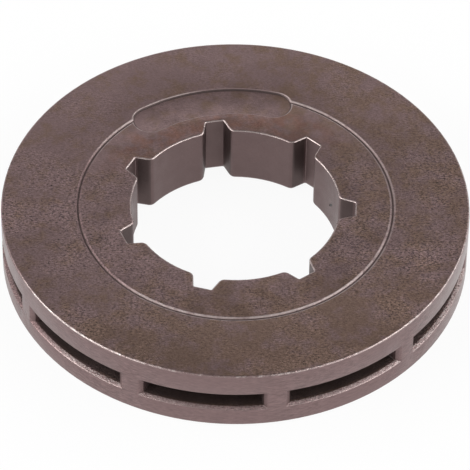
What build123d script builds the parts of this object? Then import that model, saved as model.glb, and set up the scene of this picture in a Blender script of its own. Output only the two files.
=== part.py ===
"""Chainsaw rim sprocket: a cast-steel disc that slides on a splined hub and drives the saw chain.

The chain's straps ride on the rim, and its drive links drop into the blind slots round the edge.
The origin is on the bore axis in the plane of the lower face, with +Z along the axis.
The recess for the size mark, one spline groove and one web between slots line up on the +Y side.
"""
import os
from math import cos, radians, sin, tan

from build123d import *

# Disc
outer_diameter = 53.5
thickness = 7.9
rim_edge_round = 0.25

# Drive-link slots round the rim
slot_count = 10
slot_height = 2.1
slot_depth = 6.2
slot_corner_radius = 1.6
upper_rail = 3.15
web_width = 2.95
mouth_depth = 0.48
lip_bevel = 0.24
web_bevel = 0.56

# Splined bore
bore_diameter = 23.8
spline_count = 7
spline_depth = 1.8
spline_root_width = 2.1
spline_flank_angle = 17.0
spline_root_round = 0.15
spline_mouth_round = 0.8
upper_bore_bevel = 0.12
lower_bore_round = 0.6

# Thin ring line cut in the upper face
ring_line_diameter = 36.0
ring_line_width = 0.56
ring_line_depth = 0.25

# Curved recess for the size mark, with round ends and sloping walls
mark_centre_diameter = 33.9
mark_width = 4.3
mark_span_angle = 51.0
mark_depth = 0.26
mark_wall_angle = 40.0

# The side where the mark, a spline groove and a web line up
index_angle = 90.0
# How far a cutting shape runs past the surface that it opens into
cut_margin = 0.5

outer_radius = outer_diameter / 2
bore_radius = bore_diameter / 2
slot_pitch_angle = 360.0 / slot_count
slot_top = thickness - upper_rail
slot_bottom = slot_top - slot_height
slot_floor_radius = outer_radius - slot_depth
mouth_radius = outer_radius - mouth_depth
spline_root_radius = bore_radius + spline_depth


def disc():
    """The solid disc with rounded rim edges."""
    blank = Cylinder(outer_radius, thickness, align=(Align.CENTER, Align.CENTER, Align.MIN))
    return fillet(blank.edges().filter_by(GeomType.CIRCLE), rim_edge_round)


def slot_channel():
    """The ring that all slots lie in: parallel lips that flare out over the mouth's depth."""
    flare = lip_bevel * (mouth_depth + cut_margin) / mouth_depth
    section = Polyline(
        (slot_floor_radius, slot_bottom),
        (mouth_radius, slot_bottom),
        (outer_radius + cut_margin, slot_bottom - flare),
        (outer_radius + cut_margin, slot_top + flare),
        (mouth_radius, slot_top),
        (slot_floor_radius, slot_top),
        close=True,
    )
    return revolve(Plane.XZ * make_face(section), Axis.Z)


def web_flank_point(along, half_width, side):
    """A plan point on the flank of the web beside a slot on +X, from its centre line and half width."""
    half_pitch = radians(slot_pitch_angle / 2)
    x = along * cos(half_pitch) + half_width * sin(half_pitch)
    y = along * sin(half_pitch) - half_width * cos(half_pitch)
    return (x, side * y)


def drive_link_slot():
    """One blind slot opening towards +X, between two webs of even width with bevelled tips."""
    half_web = web_width / 2
    half_tip = half_web - web_bevel * (mouth_depth + cut_margin) / mouth_depth
    inner_end = slot_floor_radius - cut_margin
    outer_end = outer_radius + cut_margin
    outer_corner = outer_end / cos(radians(slot_pitch_angle / 2))
    plan = Polyline(
        web_flank_point(inner_end, half_web, 1),
        web_flank_point(mouth_radius, half_web, 1),
        web_flank_point(outer_end, half_tip, 1),
        (outer_corner, 0),
        web_flank_point(outer_end, half_tip, -1),
        web_flank_point(mouth_radius, half_web, -1),
        web_flank_point(inner_end, half_web, -1),
        close=True,
    )
    between_webs = extrude(make_face(plan), thickness)
    pocket = slot_channel() & between_webs
    upright_edges = pocket.edges().filter_by(Axis.Z)
    inner_corners = upright_edges.sort_by_distance((0, 0, slot_bottom))[:2]
    return fillet(inner_corners, slot_corner_radius)


def spline_bore():
    """The through bore and its trapezoid grooves, rounded where a groove meets the bore."""
    flank_slope = tan(radians(spline_flank_angle))
    half_root = spline_root_width / 2
    groove_start = bore_radius - cut_margin
    half_start = half_root + (spline_root_radius - groove_start) * flank_slope
    groove = make_face(Polyline(
        (groove_start, half_start),
        (spline_root_radius, half_root),
        (spline_root_radius, -half_root),
        (groove_start, -half_start),
        close=True,
    ))
    outline = Rot(0, 0, index_angle) * Circle(bore_radius)
    for place in PolarLocations(0, spline_count, start_angle=index_angle):
        outline += place * groove
    corners = outline.vertices().sort_by_distance((0, 0, 0))
    outline = fillet(corners[2 * spline_count:], spline_root_round)
    corners = outline.vertices().sort_by_distance((0, 0, 0))
    outline = fillet(corners[:2 * spline_count], spline_mouth_round)
    return extrude(outline, thickness)


def ring_line():
    """The V-shaped line in the upper face, as a ring to cut away."""
    radius = ring_line_diameter / 2
    half_width_above = ring_line_width / 2 * (ring_line_depth + cut_margin) / ring_line_depth
    section = Polyline(
        (radius, thickness - ring_line_depth),
        (radius + half_width_above, thickness + cut_margin),
        (radius - half_width_above, thickness + cut_margin),
        close=True,
    )
    return revolve(Plane.XZ * make_face(section), Axis.Z)


def mark_recess():
    """The curved recess for the size mark, narrowest at its floor."""
    wall_run = mark_depth * tan(radians(mark_wall_angle))
    start = index_angle - mark_span_angle / 2
    centre_line = CenterArc((0, 0), mark_centre_diameter / 2, start, mark_span_angle)
    floor_outline = SlotArc(centre_line, mark_width - 2 * wall_run)
    floor = Pos(0, 0, thickness - mark_depth) * floor_outline
    return extrude(floor, mark_depth + cut_margin, taper=-mark_wall_angle)


def rim_sprocket():
    """The whole sprocket, one casting."""
    body = disc()
    slot = drive_link_slot()
    for place in PolarLocations(0, slot_count, start_angle=index_angle + slot_pitch_angle / 2):
        body -= place * slot
    body -= spline_bore()
    highest_face = body.faces().filter_by(Plane.XY).sort_by(Axis.Z)[-1]
    body = chamfer(highest_face.inner_wires().edges(), upper_bore_bevel)
    lowest_face = body.faces().filter_by(Plane.XY).sort_by(Axis.Z)[0]
    body = fillet(lowest_face.inner_wires().edges(), lower_bore_round)
    body -= mark_recess()
    body -= ring_line()
    return body


os.makedirs("parts", exist_ok=True)
export_step(rim_sprocket(), "parts/rim_sprocket.step")
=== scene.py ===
"""Looks of a chainsaw rim sprocket: a cast-steel disc lying on a pale studio floor."""
import math
from types import SimpleNamespace
import bpy
from mathutils import Matrix, Vector


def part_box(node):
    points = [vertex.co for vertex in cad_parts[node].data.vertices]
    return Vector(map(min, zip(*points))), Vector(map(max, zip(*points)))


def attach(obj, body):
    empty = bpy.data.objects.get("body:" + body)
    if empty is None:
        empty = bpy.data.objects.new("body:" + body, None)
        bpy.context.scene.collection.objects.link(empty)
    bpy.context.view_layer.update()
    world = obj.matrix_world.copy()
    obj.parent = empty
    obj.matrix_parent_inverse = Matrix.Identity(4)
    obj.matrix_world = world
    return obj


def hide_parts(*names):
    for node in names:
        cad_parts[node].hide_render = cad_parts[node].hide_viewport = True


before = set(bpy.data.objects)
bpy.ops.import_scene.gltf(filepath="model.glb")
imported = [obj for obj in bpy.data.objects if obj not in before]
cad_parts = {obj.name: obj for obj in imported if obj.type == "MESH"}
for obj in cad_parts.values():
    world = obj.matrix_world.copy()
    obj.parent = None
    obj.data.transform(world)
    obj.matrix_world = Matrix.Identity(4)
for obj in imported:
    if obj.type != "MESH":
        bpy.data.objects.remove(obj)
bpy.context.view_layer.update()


# Rim sprocket
# A flat disc with ten blind slots round its edge for the chain's drive links and a splined bore for the hub.
# It is cast in steel, ground on its faces and turned smoother round its rim. A thin brown oxide darkens it,
# and handling has rubbed its edges bright. Its colour also carries painted shade in the slots, the bore, the
# feet of the cuts and at the sides of the faces, and painted glints along the edges and on the right rails.
MM = 0.001
cad_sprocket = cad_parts["rim_sprocket"]
lower_corner, upper_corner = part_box("rim_sprocket")
outer_radius = upper_corner.x
thickness = upper_corner.z
bore_edge_radius = 14.6 * MM
weld_distance = 0.0001 * MM
face_tolerance = 0.01 * MM
flat_angle = math.radians(0.3)
smooth_angle = math.radians(25)
shoulder_break = 0.09 * MM
upper_edge_break = 0.10 * MM
rim_break = 0.05 * MM

bpy.ops.object.select_all(action="DESELECT")
sprocket = bpy.data.objects.new("sprocket", cad_sprocket.data.copy())
bpy.context.scene.collection.objects.link(sprocket)
bpy.context.view_layer.objects.active = sprocket
sprocket.select_set(True)
bpy.ops.mesh.customdata_custom_splitnormals_clear()
bpy.ops.object.mode_set(mode="EDIT")
bpy.ops.mesh.select_all(action="SELECT")
bpy.ops.mesh.remove_doubles(threshold=weld_distance)
bpy.ops.mesh.dissolve_limited(angle_limit=flat_angle)
bpy.ops.object.mode_set(mode="OBJECT")


def outside_bore(point):
    """Whether a point lies beyond the spline grooves."""
    return math.hypot(point.x, point.y) > bore_edge_radius


def on_upper_face(point):
    """Whether a point lies in the plane of the upper face."""
    return point.z > thickness - face_tolerance


def beside_cut(point):
    """Whether a point lies on a shoulder of the ring line or of the mark recess."""
    return on_upper_face(point) and outside_bore(point)


def break_edges(offset, steps, wanted):
    """Round the sharp edges whose two end points are wanted."""
    bpy.ops.object.mode_set(mode="EDIT")
    bpy.ops.mesh.select_mode(type="EDGE")
    bpy.ops.mesh.select_all(action="DESELECT")
    bpy.ops.object.mode_set(mode="OBJECT")
    mesh = sprocket.data
    faces_of_edge = {}
    for face in mesh.polygons:
        for key in face.edge_keys:
            faces_of_edge.setdefault(key, []).append(face)
    for edge in mesh.edges:
        start, end = (mesh.vertices[index].co for index in edge.vertices)
        first, second = faces_of_edge[edge.key]
        sharp = first.normal.angle(second.normal, 0) > smooth_angle
        edge.select = sharp and wanted(start) and wanted(end)
    bpy.ops.object.mode_set(mode="EDIT")
    bpy.ops.mesh.bevel(offset=offset, segments=steps, affect="EDGES", clamp_overlap=False, loop_slide=False)
    bpy.ops.object.mode_set(mode="OBJECT")


break_edges(shoulder_break, steps=3, wanted=beside_cut)
break_edges(upper_edge_break, steps=4, wanted=on_upper_face)
break_edges(rim_break, steps=2, wanted=outside_bore)
bpy.ops.object.shade_smooth_by_angle(angle=smooth_angle)


def new_node(tree, kind, **settings):
    """Add a shader node, with its properties set by name."""
    node = tree.nodes.new(kind)
    for name, value in settings.items():
        setattr(node, name, value)
    return node


def noise(tree, place, size, detail=2.0, roughness=0.5):
    """A noise value from 0 to 1 whose patches are about size metres across."""
    node = new_node(tree, "ShaderNodeTexNoise")
    node.inputs["Scale"].default_value = 1 / size
    node.inputs["Detail"].default_value = detail
    node.inputs["Roughness"].default_value = roughness
    tree.links.new(place, node.inputs["Vector"])
    return node.outputs["Fac"]


def stretched(tree, place, scale, angle=0.0):
    """A place drawn out by a scale along turned axes, for a pattern that runs one way."""
    node = new_node(tree, "ShaderNodeMapping", vector_type="TEXTURE")
    node.inputs["Rotation"].default_value = (0, 0, angle)
    node.inputs["Scale"].default_value = scale
    tree.links.new(place, node.inputs["Vector"])
    return node.outputs["Vector"]


def remap(tree, value, low, high, to_low=0.0, to_high=1.0):
    """Stretch a value's range, clamped at both ends."""
    node = new_node(tree, "ShaderNodeMapRange", clamp=True)
    node.inputs["From Min"].default_value = low
    node.inputs["From Max"].default_value = high
    node.inputs["To Min"].default_value = to_low
    node.inputs["To Max"].default_value = to_high
    tree.links.new(value, node.inputs["Value"])
    return node.outputs["Result"]


def maths(tree, operation, first, second=0.0):
    """One arithmetic step on one or two values, each a socket or a number."""
    node = new_node(tree, "ShaderNodeMath", operation=operation)
    for socket, value in zip(node.inputs, (first, second)):
        if isinstance(value, (int, float)):
            socket.default_value = value
        else:
            tree.links.new(value, socket)
    return node.outputs["Value"]


def product(tree, first, *others):
    """Several values multiplied together."""
    for other in others:
        first = maths(tree, "MULTIPLY", first, other)
    return first


def total(tree, first, *others):
    """Several values added together."""
    for other in others:
        first = maths(tree, "ADD", first, other)
    return first


def highest(tree, first, *others):
    """The greatest of several values."""
    for other in others:
        first = maths(tree, "MAXIMUM", first, other)
    return first


def rest_of(tree, share):
    """What a share leaves of one."""
    return maths(tree, "SUBTRACT", 1.0, share)


def blend(tree, share, first, second):
    """A value that goes from the first to the second as a share goes from nought to one."""
    return total(tree, product(tree, first, rest_of(tree, share)), product(tree, second, share))


def within(tree, value, low, high, blur):
    """One where a value lies between two limits, fading to nought over the blur outside them."""
    return product(tree, remap(tree, value, low - blur, low), remap(tree, value, high + blur, high))


def grey(tree, value):
    """A value as a grey colour."""
    node = new_node(tree, "ShaderNodeCombineColor")
    for socket in node.inputs:
        tree.links.new(value, socket)
    return node.outputs["Color"]


def blend_colours(tree, share, first, second, mode="MIX"):
    """Mix two colours, each a socket or a colour, by a share."""
    node = new_node(tree, "ShaderNodeMix", data_type="RGBA", blend_type=mode)
    sockets = {"Factor_Float": share, "A_Color": first, "B_Color": second}
    for socket in node.inputs:
        value = sockets.get(socket.identifier)
        if value is None:
            continue
        if isinstance(value, bpy.types.NodeSocket):
            tree.links.new(value, socket)
        else:
            socket.default_value = value
    return next(socket for socket in node.outputs if socket.identifier == "Result_Color")


slot_bottom = 2.65 * MM
slot_top = 4.75 * MM
slot_floor_radius = 20.5 * MM
mouth_radius = outer_radius - 0.45 * MM
bore_radius = 11.9 * MM
groove_root_radius = 13.7 * MM
ring_line_inside = 17.5 * MM
ring_line_outside = 18.5 * MM
cut_edge_radius = 19.5 * MM
cut_foot = thickness - 0.19 * MM
cut_brow = thickness - 0.12 * MM


def level_share(tree):
    """How level the surface lies: one on the faces, nought on the walls, and between them on every edge."""
    normal = new_node(tree, "ShaderNodeSeparateXYZ")
    tree.links.new(new_node(tree, "ShaderNodeTexCoord").outputs["Normal"], normal.inputs["Vector"])
    return maths(tree, "ABSOLUTE", normal.outputs["Z"])


def surface_spot(tree):
    """Where a point lies on the disc, how level its surface is, and which part of the disc it belongs to."""
    spot = SimpleNamespace()
    spot.place = new_node(tree, "ShaderNodeTexCoord").outputs["Object"]
    along = new_node(tree, "ShaderNodeSeparateXYZ")
    tree.links.new(spot.place, along.inputs["Vector"])
    spot.x, spot.y, spot.height = along.outputs
    squares = total(tree, maths(tree, "POWER", spot.x, 2.0), maths(tree, "POWER", spot.y, 2.0))
    spot.radius = maths(tree, "SQRT", squares)
    spot.level = level_share(tree)
    spot.faces = remap(tree, spot.level, 0.90, 1.0)
    spot.walls = remap(tree, spot.level, 0.60, 0.20)
    outermost = remap(tree, spot.radius, outer_radius - 0.10 * MM, outer_radius - 0.05 * MM)
    spot.rails = product(tree, spot.walls, outermost)
    by_cuts = within(tree, spot.radius, bore_edge_radius + 0.2 * MM, cut_edge_radius, 0.1 * MM)
    spot.on_cut = product(tree, by_cuts, remap(tree, spot.level, 0.99, 0.95))
    lowered = remap(tree, spot.radius, 18.3 * MM, 18.6 * MM, 0.0, 0.07 * MM)
    spot.cut_rise = remap(tree, maths(tree, "SUBTRACT", spot.height, lowered), cut_foot, cut_brow)
    spot.on_lip = within(tree, spot.height, slot_bottom - 0.3 * MM, slot_top + 0.3 * MM, 0.05 * MM)
    behind_rails = remap(tree, spot.radius, outer_radius - 0.08 * MM, outer_radius - 0.14 * MM)
    spot.lip_flare = product(tree, spot.on_lip, behind_rails)
    return spot


mauve = (0.223, 0.149, 0.147, 1)
olive = (0.200, 0.129, 0.102, 1)
rust = (0.218, 0.118, 0.096, 1)
# Dark oxide for the rails' duller tone, and the colour of the painted shade in the slots, the bore and the
# feet of the cuts.
dull_oxide_and_shade = (0.085, 0.060, 0.057, 1)
# Near-black painted shade for the foot of the recess's outer wall and for the small pit.
painted_hollow_shade = (0.02, 0.015, 0.014, 1)
# Bare steel, for worn edges and also for painted glints.
bare_steel_and_glint = (0.55, 0.48, 0.46, 1)
grinding_angle = math.radians(-10)
grinding_stretch = (2, 1, 1)
turning_stretch = (5, 5, 1)
far_side = (0.186, 0.983)
pit_place = (11.67 * MM, 2.33 * MM, 3.41 * MM)
pit_across = (-0.105, 0.523, 0)
pit_along = (-0.186, 0.932, 1)
pit_edge = 0.28 * MM
pit_floor = 0.16 * MM
grain_contrast = 3.3
grain_bump = 0.10 * MM


def oxide_colour(tree, spot):
    """Mauve all over, patched with olive on the faces, and a little rust behind the bore."""
    in_front = remap(tree, spot.y, -9 * MM, -19 * MM, -0.07, 0.08)
    at_right = product(tree, remap(tree, spot.x, 2 * MM, 12 * MM, 0.0, 0.08),
                       remap(tree, spot.y, -12 * MM, -4 * MM))
    patches = noise(tree, spot.place, size=2.6 * MM, detail=5.0, roughness=0.65)
    patches = remap(tree, total(tree, patches, in_front, at_right), 0.41, 0.59)
    colour = blend_colours(tree, product(tree, patches, spot.faces), mauve, olive)
    behind_bore = product(tree, within(tree, spot.radius, 12.5 * MM, 15.5 * MM, 1.5 * MM),
                          remap(tree, spot.y, 6 * MM, 11 * MM),
                          remap(tree, spot.height, thickness - 0.2 * MM, thickness - 0.05 * MM))
    rusty = noise(tree, spot.place, size=2.0 * MM, detail=4.0, roughness=0.6)
    rusty = remap(tree, rusty, 0.40, 0.60)
    return blend_colours(tree, product(tree, behind_bore, rusty, spot.faces), colour, rust)


def grain_height(tree, spot):
    """Fine cast specks and straight grinding marks, as a height from 0 to 1."""
    ground = stretched(tree, spot.place, grinding_stretch, grinding_angle)
    marks = noise(tree, ground, size=0.18 * MM, detail=2.0, roughness=0.6)
    specks = noise(tree, spot.place, size=0.16 * MM, detail=3.0, roughness=0.65)
    return product(tree, total(tree, marks, specks), 0.5)


def grain_strength(tree, spot):
    """How strong the grain is: in patches, weaker on walls and on the far side, stronger at both sides."""
    patchy = remap(tree, noise(tree, spot.place, size=7.0 * MM), 0.40, 0.60, 0.7, 1.5)
    away = total(tree, product(tree, spot.x, far_side[0]), product(tree, spot.y, far_side[1]))
    behind = remap(tree, away, 1 * MM, 10 * MM, 1.0, 0.45)
    aside = remap(tree, maths(tree, "ABSOLUTE", spot.x), 8 * MM, 20 * MM, 0.9, 1.4)
    rightward = remap(tree, spot.x, -20 * MM, 20 * MM, 0.88, 1.12)
    upright = remap(tree, spot.level, 0.3, 0.9, 0.3, 1.0)
    return product(tree, patchy, behind, aside, rightward, upright)


def oxide_tone_and_side_shade(tree, spot, grain, strength):
    """How light the oxide is, about one: grain, turned lines on the rails, smudges, and painted shade on the
    sides.
    """
    turned = stretched(tree, spot.place, turning_stretch)
    turned = noise(tree, turned, size=0.16 * MM, detail=3.0, roughness=0.65)
    lines = maths(tree, "SUBTRACT", blend(tree, spot.rails, grain, turned), 0.5)
    smudges = remap(tree, noise(tree, spot.place, size=1.8 * MM, detail=3.0), 0.35, 0.65, -0.10, 0.10)
    inside_ring = remap(tree, spot.radius, ring_line_inside, ring_line_outside, 1.0, 0.25)
    smudges = product(tree, smudges, inside_ring, spot.faces)
    shade = total(tree, product(tree, lines, strength, grain_contrast), 1.0, smudges)
    # Painted shade: the faces darker towards the left and towards the right.
    left = product(tree, remap(tree, spot.x, -3 * MM, -9 * MM, 0.0, 0.06),
                   remap(tree, spot.y, 12 * MM, 6 * MM))
    right = product(tree, remap(tree, spot.x, 4 * MM, 9 * MM),
                    within(tree, spot.y, -12 * MM, 6 * MM, 6 * MM),
                    remap(tree, spot.radius, ring_line_inside, ring_line_outside, 0.14, 0.10))
    painted_side_shade = product(tree, highest(tree, left, right), spot.faces)
    return product(tree, shade, rest_of(tree, painted_side_shade))


def slot_painted_shade(tree, spot):
    """Painted shade in a drive-link slot: dark inside, and a little on the bevels of its mouth."""
    on_lips = within(tree, spot.radius, slot_floor_radius, outer_radius - 0.8 * MM, 0.5 * MM)
    on_ends = within(tree, spot.radius, slot_floor_radius, outer_radius - 1.9 * MM, 1.4 * MM)
    inside = product(tree, within(tree, spot.height, slot_bottom, slot_top, 0.05 * MM),
                     blend(tree, spot.walls, on_lips, on_ends))
    in_mouth = product(tree, within(tree, spot.height, slot_bottom - 0.2 * MM, slot_top + 0.2 * MM, 0.1 * MM),
                       within(tree, spot.radius, slot_floor_radius, mouth_radius, 0.35 * MM))
    end_bevel = product(tree, in_mouth, within(tree, spot.radius, mouth_radius, outer_radius, 0.1 * MM),
                        remap(tree, spot.height, slot_top, slot_bottom, 0.4, 0.7), spot.walls)
    # Painted shade: deep inside the slot, on its end bevels, and a little across its mouth.
    return highest(tree, inside, end_bevel, product(tree, in_mouth, 0.25))


def bore_painted_shade(tree, spot):
    """Painted shade in the bore: on its lands, more so lower down, and most of all on the flanks of its
    grooves.
    """
    in_bore = remap(tree, spot.radius, bore_edge_radius + 0.1 * MM, bore_edge_radius)
    past_land = remap(tree, spot.radius, bore_radius + 0.08 * MM, bore_radius + 0.24 * MM)
    on_flank = remap(tree, spot.radius, groove_root_radius - 0.10 * MM, groove_root_radius - 0.30 * MM)
    on_root = remap(tree, spot.y, 10 * MM, 12.5 * MM, 0.45, 0.70)
    on_land = remap(tree, spot.height, 5.5 * MM, 1.5 * MM, 0.48, 0.58)
    in_groove = product(tree, past_land, highest(tree, on_flank, on_root))
    # Painted shade, darker lower in the bore and on the groove flanks.
    return product(tree, highest(tree, in_groove, on_land), in_bore, spot.walls)


def pit_share(tree, spot):
    """One in the small pit on the right of the bore, else nought."""
    from_pit = new_node(tree, "ShaderNodeVectorMath", operation="SUBTRACT")
    tree.links.new(spot.place, from_pit.inputs[0])
    from_pit.inputs[1].default_value = pit_place
    squares = []
    for axis in (pit_across, pit_along):
        along = new_node(tree, "ShaderNodeVectorMath", operation="DOT_PRODUCT")
        tree.links.new(from_pit.outputs["Vector"], along.inputs[0])
        along.inputs[1].default_value = axis
        squares.append(maths(tree, "POWER", maths(tree, "ABSOLUTE", along.outputs["Value"]), 2.0))
    distance = maths(tree, "SQRT", total(tree, *squares))
    return remap(tree, distance, pit_edge, pit_floor)


def rim_wear_and_glint(tree, spot, steady):
    """Wear and painted glints along the rim's edges: bright at both sides, beaded in front, hardly any at the
    far left.
    """
    before_far_left = remap(tree, spot.y, -10.5 * MM, -6.5 * MM, 1.0, 0.05)
    right = product(tree, remap(tree, spot.x, -5 * MM, 23 * MM, 0.08, 0.58),
                    remap(tree, spot.y, -16 * MM, -11 * MM, 1.0, 0.7))
    left = product(tree, remap(tree, spot.x, -9 * MM, -22 * MM, 0.08, 0.70), before_far_left)
    beads = remap(tree, noise(tree, spot.place, size=0.5 * MM), 0.52, 0.66, 0.0, 0.40)
    beads = product(tree, beads, before_far_left)
    return total(tree, product(tree, steady, highest(tree, right, left)), beads)


def lip_wear_and_glint(tree, spot, edge):
    """Wear and painted glints on the slots' lips: along their edges, and in specks on their flares."""
    specks = remap(tree, noise(tree, spot.place, size=0.20 * MM), 0.38, 0.62, 0.0, 0.85)
    worn = blend(tree, spot.lip_flare, product(tree, edge, 0.6), specks)
    right = remap(tree, spot.x, -5 * MM, 23 * MM, 0.2, 0.85)
    left = remap(tree, spot.x, -5 * MM, -21 * MM, 0.2, 0.60)
    before_far_left = remap(tree, spot.x, -21.5 * MM, -24.5 * MM, 1.0, 0.0)
    return product(tree, worn, highest(tree, right, left), before_far_left)


def shoulder_wear_and_glint(tree, spot, steady):
    """Wear and painted glints on the shoulders of the ring line and the recess: less at the sides and in the
    recess's middle.
    """
    left = remap(tree, spot.x, -15.5 * MM, -12 * MM, 0.0, 0.9)
    right = remap(tree, spot.x, 11.5 * MM, 17.5 * MM, 1.0, 0.5)
    recess_middle = product(tree, within(tree, spot.x, 0, 7 * MM, 3 * MM),
                            remap(tree, spot.y, 12 * MM, 14 * MM, 0.0, 0.8))
    on_shoulder = product(tree, spot.on_cut, spot.cut_rise, steady, 0.58)
    return product(tree, on_shoulder, left, right, rest_of(tree, recess_middle))


def wear_and_glint_share(tree, spot):
    """How far the surface shows worn steel and painted glints: along the edges, and as painted sheen a little
    on the rails at the right.
    """
    steady = remap(tree, noise(tree, spot.place, size=0.9 * MM), 0.30, 0.50, 0.3, 1.0)
    near_rim = remap(tree, spot.radius, outer_radius - 0.6 * MM, outer_radius - 0.5 * MM)
    rim_edge = product(tree, rim_wear_and_glint(tree, spot, steady), near_rim)
    lip_edge = lip_wear_and_glint(tree, spot, product(tree, near_rim, steady))
    bore_edge = product(tree, remap(tree, spot.radius, bore_edge_radius + 0.1 * MM, bore_edge_radius),
                        remap(tree, spot.height, thickness / 2, thickness / 2 + MM, 0.0, 0.55), steady)
    edges = highest(tree, blend(tree, spot.on_lip, rim_edge, lip_edge), bore_edge)
    edges = product(tree, edges, within(tree, spot.level, 0.30, 0.92, 0.07))
    # Painted sheen on the rails at the right.
    painted_rail_sheen = product(tree, spot.rails, remap(tree, spot.x, 17 * MM, 24 * MM, 0.0, 0.16))
    return highest(tree, edges, shoulder_wear_and_glint(tree, spot, steady), painted_rail_sheen)


def roughness_share(tree, spot):
    """Matt in patches, smoother on the turned rails and on the broken edges."""
    patchy = remap(tree, noise(tree, spot.place, size=1.5 * MM, detail=3.0), 0.3, 0.7, 0.42, 0.52)
    broken = product(tree, within(tree, spot.level, 0.30, 0.93, 0.05), rest_of(tree, spot.on_cut),
                     rest_of(tree, spot.lip_flare))
    smoother = total(tree, product(tree, broken, 0.19), product(tree, spot.rails, 0.14))
    return maths(tree, "SUBTRACT", patchy, smoother)


def cast_steel():
    """Cast steel under a brown oxide, with painted shade in its hollows, rubbed bright along its edges with
    painted glints.
    """
    material = bpy.data.materials.new("cast_steel_oxide")
    material.use_nodes = True
    tree = material.node_tree
    shader = tree.nodes["Principled BSDF"]
    spot = surface_spot(tree)
    grain = grain_height(tree, spot)
    strength = grain_strength(tree, spot)
    # Painted shade at the foot of the ring line's and the recess's walls, near black on the recess's outer
    # wall.
    painted_crease_shade = product(tree, spot.on_cut, rest_of(tree, spot.cut_rise))
    painted_recess_shadow = product(tree, painted_crease_shade, remap(tree, spot.radius, 18.4 * MM, 18.7 * MM, 0.0, 0.5))
    dull_rails = product(tree, spot.rails, 0.07)
    # Painted shade in the slots, the bore and the feet of the cuts, with the rails' duller tone.
    dull_and_painted_shade = highest(tree, slot_painted_shade(tree, spot), bore_painted_shade(tree, spot), painted_crease_shade, dull_rails)
    pitted = pit_share(tree, spot)
    wear_and_glint = wear_and_glint_share(tree, spot)

    shade = grey(tree, oxide_tone_and_side_shade(tree, spot, grain, strength))
    colour = blend_colours(tree, 1.0, oxide_colour(tree, spot), shade, "MULTIPLY")
    colour = blend_colours(tree, product(tree, dull_and_painted_shade, 0.85), colour, dull_oxide_and_shade)
    colour = blend_colours(tree, painted_recess_shadow, colour, painted_hollow_shade)
    # Painted shade in the small pit, which the bump also dents.
    colour = blend_colours(tree, pitted, colour, painted_hollow_shade)
    # Bare steel where worn, which also carries painted glints.
    colour = blend_colours(tree, wear_and_glint, colour, bare_steel_and_glint)
    tree.links.new(colour, shader.inputs["Base Color"])
    tree.links.new(roughness_share(tree, spot), shader.inputs["Roughness"])
    tree.links.new(remap(tree, wear_and_glint, 0.0, 1.0, 0.8, 1.0), shader.inputs["Metallic"])

    bump = new_node(tree, "ShaderNodeBump")
    bump.inputs["Distance"].default_value = grain_bump
    tree.links.new(product(tree, strength, 0.9), bump.inputs["Strength"])
    tree.links.new(maths(tree, "SUBTRACT", grain, product(tree, pitted, 6.0)), bump.inputs["Height"])
    tree.links.new(bump.outputs["Normal"], shader.inputs["Normal"])
    return material


sprocket.data.materials.clear()
sprocket.data.materials.append(cast_steel())
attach(sprocket, "root")
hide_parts("rim_sprocket")


# Studio floor
# A large pale sheet on which the sprocket lies on its lower face, lit evenly so that it goes to white.
# What the camera and the metal's reflections see of it is nearly all plain white; the rest keeps the shadow.
# From below the sheet is clear, so that the lower face can be looked at too.
floor_size = 3.0
floor_gap = 0.02 * MM
floor_grey = (0.92, 0.92, 0.92, 1)
floor_roughness = 0.9
white_share = 0.92

bpy.ops.object.select_all(action="DESELECT")
bpy.ops.mesh.primitive_plane_add(size=floor_size, location=(0, 0, lower_corner.z - floor_gap))
floor = bpy.context.active_object
floor.name = "studio_floor"


def seen_directly(tree):
    """One for rays from the camera and from mirror or glass surfaces, else nought."""
    rays = new_node(tree, "ShaderNodeLightPath")
    return highest(tree, rays.outputs["Is Camera Ray"], rays.outputs["Is Glossy Ray"],
                   rays.outputs["Is Transmission Ray"])


def white_floor():
    """A pale matt sheet that shows as white and still takes a soft shadow."""
    material = bpy.data.materials.new("studio_white")
    material.use_nodes = True
    tree = material.node_tree
    matt = tree.nodes["Principled BSDF"]
    matt.inputs["Base Color"].default_value = floor_grey
    matt.inputs["Roughness"].default_value = floor_roughness
    matt.inputs["Specular IOR Level"].default_value = 0.0
    glow = new_node(tree, "ShaderNodeEmission")
    mix = new_node(tree, "ShaderNodeMixShader")
    tree.links.new(product(tree, seen_directly(tree), white_share), mix.inputs["Fac"])
    tree.links.new(matt.outputs["BSDF"], mix.inputs[1])
    tree.links.new(glow.outputs["Emission"], mix.inputs[2])
    one_sided = new_node(tree, "ShaderNodeMixShader")
    tree.links.new(new_node(tree, "ShaderNodeNewGeometry").outputs["Backfacing"], one_sided.inputs["Fac"])
    tree.links.new(mix.outputs["Shader"], one_sided.inputs[1])
    tree.links.new(new_node(tree, "ShaderNodeBsdfTransparent").outputs["BSDF"], one_sided.inputs[2])
    tree.links.new(one_sided.outputs["Shader"], tree.nodes["Material Output"].inputs["Surface"])
    return material


floor.data.materials.append(white_floor())


# Studio light
# A white surround, which in reflections dims towards the ceiling, most of all behind the sprocket. A soft box
# on each side of the camera's line of sight glints on the bevelled edges, and a weaker one behind lifts the
# far side of the upper face.
view_azimuth = math.radians(-10.7)
surround_fill = 0.35
ceiling_shade_behind = 0.06
ceiling_shade_in_front = 0.7
behind_limit = -0.2
front_limit = 0.5
ceiling_start = 0.05
ceiling_full = 0.60

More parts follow.
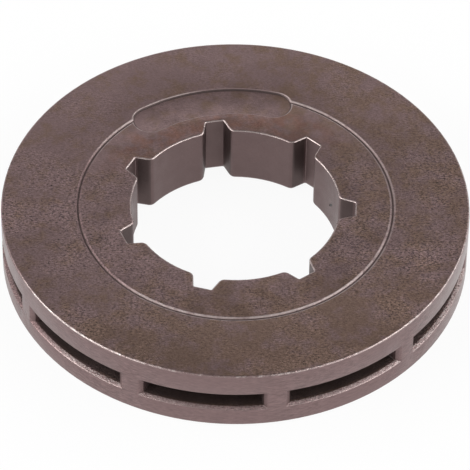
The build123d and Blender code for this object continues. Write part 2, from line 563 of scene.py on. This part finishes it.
world = bpy.data.worlds.new("studio_surround")
bpy.context.scene.world = world
world.use_nodes = True
sky = world.node_tree
background = sky.nodes["Background"]
direction = new_node(sky, "ShaderNodeTexCoord").outputs["Generated"]
upward = new_node(sky, "ShaderNodeSeparateXYZ")
sky.links.new(direction, upward.inputs["Vector"])
frontward = new_node(sky, "ShaderNodeVectorMath", operation="DOT_PRODUCT")
sky.links.new(direction, frontward.inputs[0])
frontward.inputs[1].default_value = (math.sin(view_azimuth), -math.cos(view_azimuth), 0)
ceiling = remap(sky, frontward.outputs["Value"], behind_limit, front_limit,
                ceiling_shade_behind, ceiling_shade_in_front)
raised = remap(sky, upward.outputs["Z"], ceiling_start, ceiling_full)
ceiling_shade = rest_of(sky, product(sky, raised, rest_of(sky, ceiling)))
rays = new_node(sky, "ShaderNodeLightPath")
reflected = highest(sky, rays.outputs["Is Glossy Ray"], rays.outputs["Is Transmission Ray"])
fill = product(sky, rest_of(sky, seen_directly(sky)), surround_fill)
surround = total(sky, rays.outputs["Is Camera Ray"], product(sky, reflected, ceiling_shade), fill)
sky.links.new(surround, background.inputs["Strength"])
background.inputs["Color"].default_value = (1, 1, 1, 1)


def soft_box(name, azimuth, elevation, distance, width, height, radiance):
    """A soft box that faces the sprocket; its azimuth in degrees counts from the camera's side."""
    turn = view_azimuth + math.radians(azimuth)
    lift = math.radians(elevation)
    towards = Vector((math.sin(turn) * math.cos(lift), -math.cos(turn) * math.cos(lift), math.sin(lift)))
    lamp = bpy.data.lights.new(name, "AREA")
    lamp.shape = "RECTANGLE"
    lamp.size = width
    lamp.size_y = height
    lamp.energy = radiance * math.pi * width * height
    box = bpy.data.objects.new(name, lamp)
    box.location = towards * distance
    box.rotation_euler = towards.to_track_quat("Z", "Y").to_euler()
    bpy.context.scene.collection.objects.link(box)


soft_box("soft_box_left", azimuth=-76, elevation=33, distance=0.40, width=0.48, height=0.19, radiance=4.3)
soft_box("soft_box_right", azimuth=79, elevation=33, distance=0.40, width=0.62, height=0.17, radiance=3.8)
soft_box("soft_box_back", azimuth=180, elevation=28, distance=0.18, width=0.20, height=0.09, radiance=1.0)


# Camera
# A long lens above the front edge, turned a little to the left of the mark recess, as in the photo.
view_elevation = math.radians(45.76)
view_roll = math.radians(0.79)
view_distance = 483.0 * MM
aim_height = 4.0 * MM
aim_below_centre = 0.843 * MM
aim_left_of_centre = 0.008 * MM
sensor_width = 36.0
focal_length = 322.2
nearest_view = 10 * MM

camera_data = bpy.data.cameras.new("studio_camera")
camera_data.sensor_width = sensor_width
camera_data.lens = focal_length
camera_data.clip_start = nearest_view
camera = bpy.data.objects.new("studio_camera", camera_data)
bpy.context.scene.collection.objects.link(camera)
back = Vector((
    math.sin(view_azimuth) * math.cos(view_elevation),
    -math.cos(view_azimuth) * math.cos(view_elevation),
    math.sin(view_elevation),
))
facing = back.to_track_quat("Z", "Y").to_matrix().to_4x4() @ Matrix.Rotation(view_roll, 4, "Z")
slide = Vector((-aim_left_of_centre, -aim_below_centre, 0))
standpoint = Vector((0, 0, aim_height)) + back * view_distance + facing.to_3x3() @ slide
camera.matrix_world = Matrix.Translation(standpoint) @ facing
bpy.context.scene.camera = camera
bpy.context.scene.view_settings.view_transform = "Standard"
